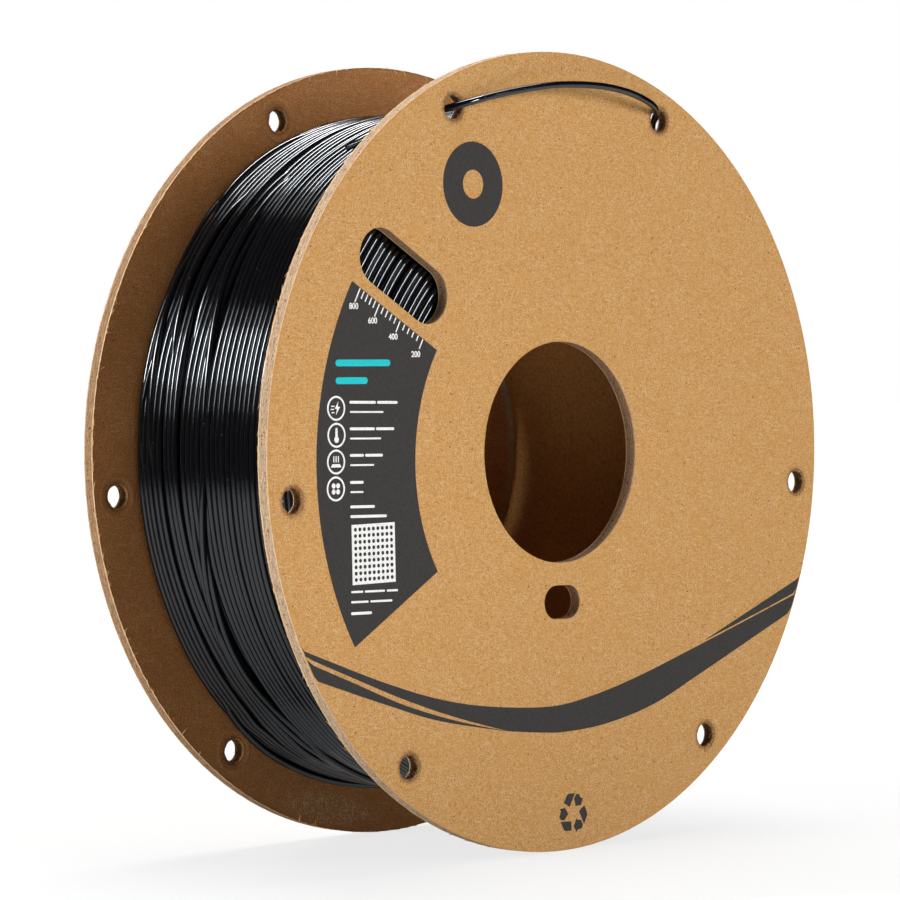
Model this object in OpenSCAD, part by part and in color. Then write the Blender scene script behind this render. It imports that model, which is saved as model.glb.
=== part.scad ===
// Cardboard spool wound full of 1.75 mm printing filament.
// Two laminated board flanges are glued to the ends of a spiral-wound paper tube.
// Millimetres. +Z is up, the spool's axis lies along Y and the marked flange faces -Y.
// The origin is on the spindle bore's axis, halfway between the two outer faces.

/* [Spool] */
// Diameter of each flange
flange_d = 200; // [194:1:206]
// Width over the two outer faces
spool_w = 66; // [60:1:72]
// Diameter of the spindle bore through both flanges
bore_d = 55.5; // [50:0.5:58]

/* [Laminated board] */
// Thickness of the grey board in the middle of a flange
board_t = 2.5; // [2:0.1:3.2]
// Thickness of the kraft liner sheet on each side of the grey board
liner_t = 0.35; // [0.2:0.05:0.6]

/* [Rim holes] */
// Diameter of a rim hole, which parks the filament's loose end
rim_hole_d = 6.5; // [5:0.1:8]
// Distance from the rim to the middle of a rim hole
rim_hole_inset = 7.4; // [6.5:0.1:8.4]
// Number of pairs of rim holes
rim_pairs = 3; // [2:1:4]
// Angle between the two holes of a pair
rim_pair_angle = 48; // [36:1:56]

/* [Gauge window] */
// Overall length of the window that shows how much filament is left
window_l = 32; // [26:1:34]
// Width of the window
window_w = 14; // [10:0.5:15]
// Angle of the radial line that the window runs beside, from +X as seen from the front
window_angle = 150; // [147:1:153]
// Distance along that line from the spool's axis to the middle of the window
window_mid = 69.2; // [68.5:0.1:70]
// Gap between that line and the near side of the window
window_offset = 3.05; // [1:0.05:5]

/* [Drive hole] */
// Overall length of the drive hole below the bore
drive_l = 13.1; // [10:0.1:16]
// Height of the drive hole
drive_w = 8.5; // [6:0.1:9]
// Board left between the bore and the drive hole
drive_gap = 5.6; // [4:0.1:7]

/* [Core tube] */
// Outer diameter of the tube that the filament is wound on
tube_d = 100; // [97:1:103]
// Thickness of the tube's innermost paper ply
tube_inner_ply_t = 0.6; // [0.3:0.1:1]
// Thickness of the wound plies in the middle of the tube's wall
tube_body_t = 1.3; // [0.8:0.1:2]
// Thickness of the tube's outermost paper ply
tube_outer_ply_t = 0.6; // [0.3:0.1:1]
// Leg of the glue bead in the corner between the tube and a flange
glue_leg = 1.2; // [0.6:0.1:2]
// Diameter of the hole in the tube that holds the filament's first end
anchor_hole_d = 2.8; // [2.3:0.1:4]
// Distance from the rear flange to the middle of that hole
anchor_inset = 9; // [6:0.5:14]

/* [Filament] */
// Diameter of the filament
strand_d = 1.75; // [1.6:0.05:1.85]
// Distance from the rim down to the outside of the top layer
wind_inset = 12.7; // [12.2:0.1:30]
// Clearance between the winding and each flange
side_gap = 0.3; // [0.1:0.05:0.8]
// Least gap between neighbouring turns of the top layer
turn_gap = 0.45; // [0.45:0.05:1]
// Most turns that the top layer is given
max_turns = 24; // [8:1:24]
// Extra width of each valley where the top layer skips a strand
valley_w = 1.6; // [0:0.1:2]
// Angle at which the last turn lifts off towards its rim hole
lift_angle = 45; // [40:1:50]
// Length of the first end that lies inside the tube
start_l = 9; // [5:1:16]

/* [Hidden] */
$fn = 96;

// Overlap of a cut past the face that it starts from
cut_over = 1;
// Clearance that keeps touching curved faces from biting into each other
seat_gap = 0.03;

// Flanges
flange_t = board_t + 2 * liner_t;
flange_r = flange_d / 2;
inner_w = spool_w - 2 * flange_t;
rim_hole_r = flange_r - rim_hole_inset;
top_angle = 90;
full_circle = 360;
rim_hole_angles = [
    for (pair = [0 : rim_pairs - 1])
        for (side = [-1, 1])
            top_angle + pair * full_circle / rim_pairs + side * rim_pair_angle / 2
];
window_side = window_offset + window_w / 2;
drive_drop = bore_d / 2 + drive_gap + drive_w / 2;

// Core tube
tube_wall = tube_inner_ply_t + tube_body_t + tube_outer_ply_t;
tube_id = tube_d - 2 * tube_wall;
anchor_y = inner_w / 2 - anchor_inset;

// Winding
strand_r = strand_d / 2;
top_r = flange_r - wind_inset - strand_r;
rings_per_turn = 24;
ring_sides = 6;
ring_step = full_circle / rings_per_turn;
pack_r = top_r * cos(ring_step / 2) - strand_r - seat_gap;
pack_w = inner_w - 2 * side_gap;
wind_span = pack_w - strand_d;
// Turns after which the strand skips over a valley, and the share of a turn that each skip takes
valley_turns = [5.7, 9.7];
valley_skip = 0.25;
valley_room = valley_w * len(valley_turns);
turns = min(max_turns, floor((wind_span - valley_room) / (strand_d + turn_gap)));
pitch = (wind_span - valley_room) / turns;

// Tail of the filament: round numbers along its way up to the first rim hole, out through
// it, over the front face, back through the second hole and on to the cut tip.
TAIL = [
    [55.5, -28.3, 66.7],
    [49.5, -27.7, 72.7],
    [43.9, -27.4, 78.3],
    [41.0, -28.0, 81.3],
    [38.7, -29.8, 83.7],
    [37.4, -31.8, 85.2],
    [35.5, -34.0, 86.6],
    [31.8, -36.2, 88.0],
    [26.4, -37.6, 89.4],
    [20.0, -38.3, 90.7],
    [13.5, -38.5, 91.5],
    [7.0, -38.4, 91.8],
    [0.0, -38.0, 91.7],
    [-7.0, -37.4, 91.2],
    [-14.0, -36.8, 90.2],
    [-21.0, -36.1, 88.9],
    [-27.5, -35.4, 87.5],
    [-32.2, -35.0, 86.3],
    [-35.4, -33.9, 85.4],
    [-37.8, -32.0, 84.6],
    [-39.8, -29.4, 83.5],
    [-41.8, -26.2, 82.3],
    [-44.6, -21.4, 80.4],
    [-47.4, -15.4, 78.1],
    [-50.0, -8.3, 75.4]
];
tail_sides = 8;
// Rings from one point of the tail to the next
tail_steps = 2;

// The disc's own colours, the paper tube's, the glue's and the filament's
kraft = [0.78, 0.61, 0.41];
grey_board = [0.66, 0.57, 0.47];
tube_paper = [0.60, 0.44, 0.27];
glue_amber = [0.86, 0.78, 0.58];
black_plastic = [0.03, 0.03, 0.035];

function unit(v) = v / norm(v);
function radial(a) = [cos(a), 0, sin(a)];
function smooth_step(x) = x <= 0 ? 0 : x >= 1 ? 1 : x * x * (3 - 2 * x);

// A round bar of diameter d along Y, from y to y + len
module bar_y(d, y, len) {
    translate([0, y + len, 0]) rotate([90, 0, 0]) cylinder(d = d, h = len);
}

// A bar with round ends, l long and w high, along Y from y to y + len
module oblong_y(l, w, y, len) {
    reach = (l - w) / 2;
    for (side = [-1, 1]) translate([side * reach, 0, 0]) bar_y(w, y, len);
    translate([-reach, y, -w / 2]) cube([2 * reach, len, w]);
}

// ---- Flanges -------------------------------------------------------------

// Everything that the die punches out of a sheet lying from y to y + t
module die_cuts(y, t) {
    from = y - cut_over;
    len = t + 2 * cut_over;
    bar_y(bore_d, from, len);
    for (a = rim_hole_angles) translate(rim_hole_r * radial(a)) bar_y(rim_hole_d, from, len);
    translate([0, 0, -drive_drop]) oblong_y(drive_l, drive_w, from, len);
    rotate([0, 180 - window_angle, 0])
        translate([-window_mid, 0, window_side]) oblong_y(window_l, window_w, from, len);
}

// One punched sheet of the laminate
module flange_sheet(y, t) {
    difference() {
        bar_y(flange_d, y, t);
        die_cuts(y, t);
    }
}

module outer_liner() {
    color(kraft) flange_sheet(-spool_w / 2, liner_t);
}

module board() {
    color(grey_board) flange_sheet(-spool_w / 2 + liner_t, board_t);
}

module inner_liner() {
    color(kraft) flange_sheet(-spool_w / 2 + liner_t + board_t, liner_t);
}

// The rear flange is the same punched disc, turned to face the other way
module turned_round() {
    rotate([0, 0, 180]) children();
}

// ---- Core tube -----------------------------------------------------------

// The hole that the filament's first end is pushed through
module anchor_hole() {
    translate([-tube_d / 2 - cut_over, anchor_y, 0])
        rotate([0, 90, 0]) cylinder(d = anchor_hole_d, h = tube_wall + 2 * cut_over);
}

// One ply of the tube, between two diameters
module tube_ply(outer_d, t) {
    color(tube_paper) difference() {
        bar_y(outer_d, -inner_w / 2, inner_w);
        bar_y(outer_d - 2 * t, -inner_w / 2 - cut_over, inner_w + 2 * cut_over);
        anchor_hole();
    }
}

module core_inner_ply() {
    tube_ply(tube_id + 2 * tube_inner_ply_t, tube_inner_ply_t);
}

module core_body_plies() {
    tube_ply(tube_d - 2 * tube_outer_ply_t, tube_body_t);
}

module core_outer_ply() {
    tube_ply(tube_d, tube_outer_ply_t);
}

// A bead of glue in the corner between the tube's bore and a flange
module glue_bead() {
    wall_r = tube_id / 2;
    color(glue_amber) translate([0, -inner_w / 2, 0]) rotate([-90, 0, 0])
        rotate_extrude() polygon([[wall_r - glue_leg, 0], [wall_r, 0], [wall_r, glue_leg]]);
}

// ---- Filament ------------------------------------------------------------

// The first end: through the tube's wall, round a bend, and flat along the inside
module filament_start() {
    bend_r = 2 * strand_d;
    wall_l = tube_wall + strand_d;
    color(black_plastic) translate([-tube_d / 2 + seat_gap, anchor_y, 0]) {
        rotate([0, 90, 0]) cylinder(d = strand_d, h = wall_l);
        translate([wall_l, -bend_r, 0]) {
            rotate_extrude(angle = 90) translate([bend_r, 0]) circle(d = strand_d);
            translate([bend_r, 0, 0]) rotate([90, 0, 0]) cylinder(d = strand_d, h = start_l);
        }
    }
}

// The strand that climbs out of the layer below and meets the start of the top layer
module layer_climb() {
    climb_r = 40;
    climb_angle = 30;
    rotate([0, -lift_angle, 0])
        translate([top_r - climb_r, climb_y, -strand_d])
            rotate([90, 0, 0]) rotate([0, 0, -climb_angle])
                rotate_extrude(angle = climb_angle) translate([climb_r, 0]) circle(d = strand_d);
}

// All the layers below the top one, drawn as one ring
module filament_pack() {
    color(black_plastic) {
        difference() {
            bar_y(2 * pack_r, -pack_w / 2, pack_w);
            bar_y(tube_d, -pack_w / 2 - cut_over, pack_w + 2 * cut_over);
        }
        layer_climb();
    }
}

// Middle of the strand after t turns of the top layer, which runs from rear to front
function valley_shift(t) = valley_w * [for (v = valley_turns) smooth_step((t - v) / valley_skip)]
    * [for (v = valley_turns) 1];
function turn_y(t) = wind_span / 2 - pitch * t - valley_shift(t);
function turn_angle(t) = lift_angle + full_circle * (t - turns);
function turn_point(t) = top_r * radial(turn_angle(t)) + [0, turn_y(t), 0];
function tangent_at(a) = [-sin(a), 0, cos(a)];

last_ring = turns * rings_per_turn;
climb_y = turn_y(0);
wrap_points = [for (i = [0 : last_ring]) turn_point(i / rings_per_turn)];
wrap_start_dir = tangent_at(lift_angle);
wrap_end_dir = tangent_at(lift_angle);
// Each end of the top layer runs straight for one strand's width
wrap_lead = wrap_points[0] - wrap_start_dir * strand_d;
wrap_exit = wrap_points[last_ring] + wrap_end_dir * strand_d;
wrap_path = concat([wrap_lead], wrap_points, [wrap_exit]);

// Direction of a path at point i, with its two end directions given
function path_dir(path, i, first_dir, last_dir) =
    i == 0 ? first_dir
    : i == len(path) - 1 ? last_dir
    : unit(path[i + 1] - path[i - 1]);

// A ring of n points round p, square to dir, its first point towards side
function ring_at(p, dir, side, r, n) =
    let (u = unit(side - dir * (side * dir)), v = cross(dir, u))
        [for (k = [0 : n - 1]) p + r * (cos(k * full_circle / n) * u + sin(k * full_circle / n) * v)];

// Triangles of a closed tube of rings with n points each
function tube_faces(rings, n) = concat(
    [for (k = [1 : n - 2]) [0, k, k + 1]],
    [for (i = [0 : rings - 2]) for (k = [0 : n - 1])
        let (a = i * n + k, b = i * n + (k + 1) % n) [a, a + n, b]],
    [for (i = [0 : rings - 2]) for (k = [0 : n - 1])
        let (a = i * n + k, b = i * n + (k + 1) % n) [b, a + n, b + n]],
    [for (k = [1 : n - 2]) let (z = (rings - 1) * n) [z, z + k + 1, z + k]]
);

function flatten(list) = [for (part = list) for (item = part) item];

// The top layer as one unbroken strand, on the round pack below it
module filament_top_layer() {
    rings = [
        for (i = [0 : len(wrap_path) - 1])
            let (dir = path_dir(wrap_path, i, wrap_start_dir, wrap_end_dir))
                ring_at(wrap_path[i], dir, [wrap_path[i].x, 0, wrap_path[i].z], strand_r, ring_sides)
    ];
    color(black_plastic) polyhedron(flatten(rings), tube_faces(len(rings), ring_sides));
}

// Least gap between one turn and the next, measured from point to point
least_gap = min([
    for (i = [0 : last_ring - rings_per_turn / 2])
        for (j = [i + rings_per_turn / 2 : min(last_ring, i + rings_per_turn * 3 / 2)])
            norm(wrap_points[i] - wrap_points[j])
]) - strand_d;
echo(turns = turns, least_gap_between_turns = least_gap);  // filament_top_layer

// A smooth curve through the tail's points, with tail_steps rings to each stretch
tail_knots = concat([wrap_exit], TAIL);
function knot(i) = tail_knots[max(0, min(len(tail_knots) - 1, i))];
function curve_point(i, t) =
    let (a = knot(i - 1), b = knot(i), c = knot(i + 1), d = knot(i + 2))
        (2 * b + (c - a) * t + (2 * a - 5 * b + 4 * c - d) * t * t
            + (3 * b - a - 3 * c + d) * t * t * t) / 2;
tail_path = concat(
    [for (i = [0 : len(tail_knots) - 2]) for (s = [0 : tail_steps - 1]) curve_point(i, s / tail_steps)],
    [knot(len(tail_knots) - 1)]
);
tail_tip_dir = unit(tail_path[len(tail_path) - 1] - tail_path[len(tail_path) - 2]);
tail_dirs = [
    for (i = [0 : len(tail_path) - 1]) path_dir(tail_path, i, wrap_end_dir, tail_tip_dir)
];
// Sideways direction of each ring, carried along the path without twisting
tail_sideways = [
    for (i = 0, s = radial(lift_angle); i < len(tail_path);
        i = i + 1, s = i < len(tail_path) ? unit(s - tail_dirs[i] * (s * tail_dirs[i])) : s) s
];

// The loose end, parked through two rim holes
module filament_tail() {
    rings = [
        for (i = [0 : len(tail_path) - 1])
            ring_at(tail_path[i], tail_dirs[i], tail_sideways[i], strand_r, tail_sides)
    ];
    color(black_plastic) polyhedron(flatten(rings), tube_faces(len(rings), tail_sides));
}

// ---- Nodes ---------------------------------------------------------------

outer_liner();  // front_outer_liner
board();  // front_board
inner_liner();  // front_inner_liner
turned_round() outer_liner();  // rear_outer_liner
turned_round() board();  // rear_board
turned_round() inner_liner();  // rear_inner_liner
core_inner_ply();
core_body_plies();
core_outer_ply();
glue_bead();  // front_glue_bead
turned_round() glue_bead();  // rear_glue_bead
filament_start();
filament_pack();
filament_top_layer();
filament_tail();
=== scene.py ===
# Cardboard spool wound full of black printing filament: the looks of every piece.
# Metres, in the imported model's frame: +Z up, the spool's axis along Y, the marked flange towards -Y.
import math
import random

import bmesh
import bpy
import numpy as np
from mathutils import Matrix, Quaternion, Vector


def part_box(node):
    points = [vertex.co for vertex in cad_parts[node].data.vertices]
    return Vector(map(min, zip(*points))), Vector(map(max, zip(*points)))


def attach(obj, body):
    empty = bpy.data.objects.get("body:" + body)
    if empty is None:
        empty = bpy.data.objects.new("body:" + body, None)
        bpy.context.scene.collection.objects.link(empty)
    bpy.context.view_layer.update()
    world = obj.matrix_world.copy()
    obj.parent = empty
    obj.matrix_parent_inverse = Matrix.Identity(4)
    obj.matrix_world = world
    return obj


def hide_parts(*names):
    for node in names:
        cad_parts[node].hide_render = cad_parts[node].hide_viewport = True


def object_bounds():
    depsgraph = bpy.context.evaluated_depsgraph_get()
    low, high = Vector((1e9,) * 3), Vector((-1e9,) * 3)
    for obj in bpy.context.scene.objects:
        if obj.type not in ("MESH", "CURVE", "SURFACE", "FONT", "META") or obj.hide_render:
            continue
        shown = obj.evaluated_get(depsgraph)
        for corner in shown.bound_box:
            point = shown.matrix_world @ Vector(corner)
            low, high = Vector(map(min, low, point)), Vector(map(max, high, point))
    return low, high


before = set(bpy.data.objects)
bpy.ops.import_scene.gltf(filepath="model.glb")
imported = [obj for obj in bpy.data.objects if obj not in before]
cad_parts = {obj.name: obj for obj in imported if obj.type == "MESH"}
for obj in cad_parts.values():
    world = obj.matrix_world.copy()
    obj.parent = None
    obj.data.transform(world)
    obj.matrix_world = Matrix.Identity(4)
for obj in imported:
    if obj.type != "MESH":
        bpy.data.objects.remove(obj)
cad_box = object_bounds()
MM = 0.001


# ---- Studio --------------------------------------------------------------------------------
# The spool stands on a pale table on its two rims. Some lamps light only what is matt, and some
# show only in a gloss. Black cards that only a gloss mirrors keep the strand dark, and a white
# card that only plain light sees brightens the bore.

def shade(finish, kind, sockets=(), **settings):
    """Adds a shader node to a finish. Each socket gets a value or another node's output."""
    tree = finish.node_tree
    made = tree.nodes.new("ShaderNode" + kind)
    for name, value in settings.items():
        setattr(made, name, value)
    for key, value in dict(sockets).items():
        if isinstance(value, bpy.types.NodeSocket):
            tree.links.new(value, made.inputs[key])
        else:
            made.inputs[key].default_value = value
    return made


def sum_of(finish, how, first, second=0.0):
    """One sum on two values or sockets."""
    return shade(finish, "Math", {0: first, 1: second}, operation=how).outputs[0]


def length_of(finish, vector):
    """The length of a vector."""
    return shade(finish, "VectorMath", {0: vector}, operation="LENGTH").outputs["Value"]


def seen_directly(finish):
    """1 for what the camera sees, straight or in a gloss or through glass, and 0 for plain light."""
    path = shade(finish, "LightPath")
    straight_or_gloss = sum_of(finish, "MAXIMUM", path.outputs["Is Camera Ray"], path.outputs["Is Glossy Ray"])
    return sum_of(finish, "MAXIMUM", straight_or_gloss, path.outputs["Is Transmission Ray"])


def new_finish(name, values):
    """A finish with these values on its surface shader's sockets."""
    finish = bpy.data.materials.new(name)
    finish.use_nodes = True
    for socket, value in values.items():
        finish.node_tree.nodes["Principled BSDF"].inputs[socket].default_value = value
    return finish


def feed(finish, socket, output):
    """Joins a node's output to a socket of the finish's surface shader."""
    finish.node_tree.links.new(output, finish.node_tree.nodes["Principled BSDF"].inputs[socket])


def mesh_of(name, corners, faces, finish):
    """A mesh in one finish."""
    mesh = bpy.data.meshes.new(name)
    mesh.from_pydata([tuple(corner) for corner in corners], [], faces)
    mesh.materials.append(finish)
    return mesh


def in_scene(name, data):
    """Puts a mesh, a lamp, a camera or a drawing into the scene."""
    item = bpy.data.objects.new(name, data)
    bpy.context.scene.collection.objects.link(item)
    return item


def staged(name, corners, faces, finish):
    """A piece of the studio."""
    piece = in_scene(name, mesh_of(name, corners, faces, finish))
    return piece


WHITE = (1, 1, 1, 1)
ROOM_LIGHT = 0.07
world = bpy.data.worlds.new("white_room")
world.use_nodes = True
world.node_tree.nodes.clear()
dim = shade(world, "Background", {"Color": WHITE, "Strength": ROOM_LIGHT}).outputs[0]
white = shade(world, "Background", {"Color": WHITE, "Strength": 1.0}).outputs[0]
room = shade(world, "MixShader", {0: seen_directly(world), 1: dim, 2: white}).outputs[0]
shade(world, "OutputWorld", {"Surface": room})
bpy.context.scene.world = world

# White table: its open part is lit up to white far from the spool, and it keeps the shadow
TABLE_HALF = 12.0
TABLE_GREY = 0.15
TABLE_BOUNCE = 0.20
NEAR_GLOW, NEAR, FAR = 0.76, 0.15, 1.1
table_white = new_finish("table_white", {
    "Base Color": (TABLE_GREY, TABLE_GREY, TABLE_GREY, 1), "Roughness": 0.9, "Specular IOR Level": 0.1,
    "Emission Color": WHITE,
})
from_middle = length_of(table_white, shade(table_white, "TexCoord").outputs["Object"])
lit = shade(table_white, "MapRange", {0: from_middle, 1: NEAR, 2: FAR, 3: NEAR_GLOW, 4: 1.0}).outputs[0]
seen = seen_directly(table_white)
glow = shade(table_white, "Mix", {0: seen, 2: TABLE_BOUNCE, 3: lit}, data_type="FLOAT").outputs[0]
feed(table_white, "Emission Strength", glow)
table_corners = [(x * TABLE_HALF, y * TABLE_HALF, 0) for x, y in ((-1, -1), (1, -1), (1, 1), (-1, 1))]
table = staged("table", table_corners, [(0, 1, 2, 3)], table_white)
table.location.z = cad_box[0].z - 0.05 * MM


def softbox(name, towards, distance, width, height, watts, seen, roll=0.0):
    """A soft lamp in a direction from the spool, facing it, and rolled by some degrees."""
    lamp = bpy.data.lights.new(name, "AREA")
    lamp.shape = "RECTANGLE"
    lamp.size = width
    lamp.size_y = height
    lamp.energy = watts
    item = in_scene(name, lamp)
    item.location = Vector(towards).normalized() * distance
    item.rotation_mode = "QUATERNION"
    facing = (-item.location).to_track_quat("-Z", "Y")
    item.rotation_quaternion = facing @ Quaternion((0, 0, 1), math.radians(roll))
    item.visible_diffuse = seen == "diffuse"
    item.visible_glossy = seen == "gloss"


# Each lamp's direction, distance, width, height, watts, what it shows in, and its roll
LEFT = (-0.88, 0.08, 0.45)
TOP = (0.13, 0.12, 0.95)
FRONT = (0.30, -0.92, 0.25)
softbox("left_sheen", LEFT, 1.33, 0.38, 0.34, 17.0, "gloss")
softbox("left_sheen_halo", LEFT, 1.35, 0.38, 0.70, 6.5, "gloss")
softbox("left_softbox", (-0.99, -0.035, -0.025), 1.30, 0.13, 0.12, 8.8, "diffuse")
softbox("left_back_softbox", (-0.95, 0.10, 0.33), 1.30, 0.20, 0.22, 7.2, "diffuse")
softbox("back_softbox", (0.35, 0.90, 0.25), 1.60, 0.75, 0.75, 16.0, "diffuse")
softbox("top_softbox", TOP, 1.20, 0.80, 0.75, 17.0, "diffuse")
softbox("top_sheen", TOP, 1.23, 0.78, 0.28, 17.0, "gloss", 47)
softbox("top_sheen_halo", TOP, 1.25, 1.15, 0.28, 7.0, "gloss", 47)
softbox("front_softbox", FRONT, 1.60, 0.75, 0.75, 17.0, "diffuse")
softbox("front_sheen", FRONT, 1.64, 0.28, 0.60, 22.0, "gloss", -38)

card_black = new_finish("card_black", {"Base Color": (0.01, 0.01, 0.01, 1), "Specular IOR Level": 0.0})


def fading_black(clear_at, dark_at, darkest):
    """Black that fades from clear at one distance from the spool's foot to dark at another."""
    finish = card_black.copy()
    from_middle = length_of(finish, shade(finish, "TexCoord").outputs["Object"])
    feed(finish, "Alpha", shade(finish, "MapRange", {0: from_middle, 1: clear_at, 2: dark_at, 4: darkest}).outputs[0])
    return finish


def at_heading(angle):
    """A level step of one metre in some direction."""
    return Vector((math.cos(angle), math.sin(angle), 0))


def seen_only_by(piece, kept):
    """Leaves a card in sight of one kind of ray."""
    for ray in ("camera", "diffuse", "glossy", "shadow", "transmission", "volume_scatter"):
        setattr(piece, "visible_" + ray, ray == kept)


def black_card(name, headings, near, far, finish=card_black, middle=(0.0, 0.0), steps=24):
    """A curved card between two headings and two (distance, height) pairs, that only a gloss mirrors."""
    corners = []
    for i in range(steps + 1):
        away_from_middle = at_heading(math.radians(headings[0] + (headings[1] - headings[0]) * i / steps))
        corners.extend(Vector((*middle, z)) + away_from_middle * away for away, z in (near, far))
    faces = [(2 * i, 2 * i + 2, 2 * i + 3, 2 * i + 1) for i in range(steps)]
    seen_only_by(staged(name, corners, faces, finish), "glossy")


# Cards lie a little above the table, one over the other, at these heights
UPPER, MIDDLE, LOWER = -0.0993, -0.0995, -0.0996
UNDER_WINDING = (-0.05, 0.0)
black_card("low_card", (100, 300), (0.85, -0.1), (0.85, 0.17))
black_card("high_card", (0, 360), (2.1, UPPER), (2.1, 4.2))
black_card("ceiling_card", (0, 360), (0.01, 4.0), (3.0, 4.0))
black_card("foot_card", (0, 360), (0.01, MIDDLE), (0.20, MIDDLE), fading_black(0.19, 0.10, 0.45))
black_card("fading_card", (100, 300), (0.42, LOWER), (0.85, LOWER), fading_black(0.42, 0.82, 1.0))
black_card("table_card_front", (228, 268), (0.03, UPPER), (0.85, UPPER), middle=UNDER_WINDING)
black_card("table_card_back", (60, 130), (0.03, UPPER), (0.85, UPPER), middle=UNDER_WINDING)
black_card("table_card_right", (325, 375), (0.42, UPPER), (2.1, UPPER))

# The white card lies on the table in front of the spool
BOUNCE_MIDDLE, BOUNCE_RADIUS, BOUNCE_GLOW = Vector((-0.10, -0.25, -0.0992)), 0.14, 0.95
card_white = new_finish("card_white", {
    "Base Color": (0.8, 0.8, 0.8, 1), "Emission Color": WHITE, "Emission Strength": BOUNCE_GLOW,
})
card_rim = [BOUNCE_MIDDLE + BOUNCE_RADIUS * at_heading(i * math.pi / 12) for i in range(24)]
seen_only_by(staged("bounce_card", card_rim, [tuple(range(24))], card_white), "diffuse")

CAMERA_PLACE = (-0.68987, -0.67579, 0.01840)
CAMERA_HEADING = math.radians(45.328)
CAMERA_DIP = math.radians(-1.073)
CAMERA_ROLL = math.radians(-0.413)
camera = in_scene("camera", bpy.data.cameras.new("camera"))
camera.data.sensor_width = 36.0
camera.data.lens = 150.49
camera.data.clip_end = 50.0
camera.matrix_world = (
    Matrix.Translation(CAMERA_PLACE)
    @ Matrix.Rotation(-CAMERA_HEADING, 4, "Z")
    @ Matrix.Rotation(math.radians(90) + CAMERA_DIP, 4, "X")
    @ Matrix.Rotation(CAMERA_ROLL, 4, "Z")
)
bpy.context.scene.camera = camera
bpy.context.scene.view_settings.view_transform = "Standard"


# ---- Core tube -----------------------------------------------------------------------------
# A tube of brown paper strips wound in a spiral and glued, in three layers here. The innermost
# strip shows through the bore, with its spiral seam; the outermost carries the filament.

def tone(red, green, blue):
    """A colour given as it is to look, 0 to 255, in the linear values that a shader takes."""
    parts = [part / 255 for part in (red, green, blue)]
    return [p / 12.92 if p <= 0.04045 else ((p + 0.055) / 1.055) ** 2.4 for p in parts] + [1.0]


def mixed(finish, share, first, second):
    """The first colour where share is 0, the second where it is 1."""
    first, second = (end if isinstance(end, bpy.types.NodeSocket) else tone(*end) for end in (first, second))
    return shade(finish, "Mix", {0: share, 6: first, 7: second}, data_type="RGBA").outputs[2]


def times(finish, first, second):
    return sum_of(finish, "MULTIPLY", first, second)


def grain(finish, place, per_metre, detail=2.0, roughness=0.5, turn=0.0):
    """Cloudy noise from 0 to 1, with so many spots to the metre, or so many along each of X, Y and Z."""
    per_axis = per_metre if isinstance(per_metre, tuple) else (per_metre,) * 3
    laid = shade(finish, "Mapping", {"Vector": place, "Scale": per_axis, "Rotation": (0, turn, 0)})
    spots = {"Vector": laid.outputs[0], "Scale": 1.0, "Detail": detail, "Roughness": roughness}
    return shade(finish, "TexNoise", spots).outputs["Fac"]


def spread(finish, value, low, high):
    """Stretches a value so that low becomes 0 and high becomes 1, held within that."""
    return shade(finish, "MapRange", {0: value, 1: low, 2: high}, clamp=True).outputs[0]


def round_the_axis(finish, place):
    """The angle round the spool's axis in turns, the distance from it and the place along it."""
    part = shade(finish, "SeparateXYZ", {0: place})
    angle = sum_of(finish, "ARCTAN2", part.outputs["Z"], part.outputs["X"])
    turns = sum_of(finish, "DIVIDE", angle, 2 * math.pi)
    flat = shade(finish, "CombineXYZ", {"X": part.outputs["X"], "Z": part.outputs["Z"]}).outputs[0]
    return turns, length_of(finish, flat), part.outputs["Y"]


def finish_for(name, roughness, specular):
    """A new finish, and the place of each point of the piece."""
    finish = new_finish(name, {"Roughness": roughness, "Specular IOR Level": specular})
    return finish, shade(finish, "TexCoord").outputs["Object"]


def raised(finish, height, depth, **more):
    """A bump of so many metres where height goes from 0 to 1."""
    return shade(finish, "Bump", {"Height": height, "Distance": depth, "Strength": 1.0, **more}).outputs[0]


def cover(finish, colour, relief, depth):
    """Gives a finish its colour and its bump."""
    feed(finish, "Base Color", colour)
    feed(finish, "Normal", raised(finish, relief, depth))


def dressed(node, finish):
    """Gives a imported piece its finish."""
    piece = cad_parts[node]
    piece.data.materials.clear()
    piece.data.materials.append(finish)


STRIP_WIDTH = 70 * MM
STRIP_TURN = 95 * MM
tube_brown, place = finish_for("tube_brown", 0.90, 0.12)
turns, _, along = round_the_axis(tube_brown, place)
fibre_tone = spread(tube_brown, grain(tube_brown, place, 1400, 3.0), 0.3, 0.7)
slanted = sum_of(tube_brown, "ADD", along, times(tube_brown, turns, STRIP_TURN))
strip = sum_of(tube_brown, "FRACT", sum_of(tube_brown, "DIVIDE", slanted, STRIP_WIDTH))
from_seam = sum_of(tube_brown, "ABSOLUTE", sum_of(tube_brown, "SUBTRACT", strip, 0.5))
plain = mixed(tube_brown, fibre_tone, (146, 101, 53), (182, 133, 76))
seamed = mixed(tube_brown, spread(tube_brown, from_seam, 0.006, 0.0), plain, (74, 46, 22))
cover(tube_brown, seamed, fibre_tone, 0.06 * MM)
for ply in ("core_inner_ply", "core_body_plies", "core_outer_ply"):
    dressed(ply, tube_brown)


# ---- Glue beads ----------------------------------------------------------------------------
# White wood glue that squeezed out where each end of the tube sits on its flange. It has dried
# to a hard amber fillet with a slightly wavy skin.

dried_glue, place = finish_for("dried_glue", 0.38, 0.5)
waves = grain(dried_glue, place, 350)
cover(dried_glue, mixed(dried_glue, waves, (128, 98, 58), (172, 140, 88)), waves, 0.4 * MM)
for bead in ("front_glue_bead", "rear_glue_bead"):
    dressed(bead, dried_glue)


# ---- Flange sheets -------------------------------------------------------------------------
# Each flange is a sheet of grey recycled board between two sheets of brown kraft paper, glued
# together and punched out in one stroke. The die leaves the paper's edge pale and torn open.

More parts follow.
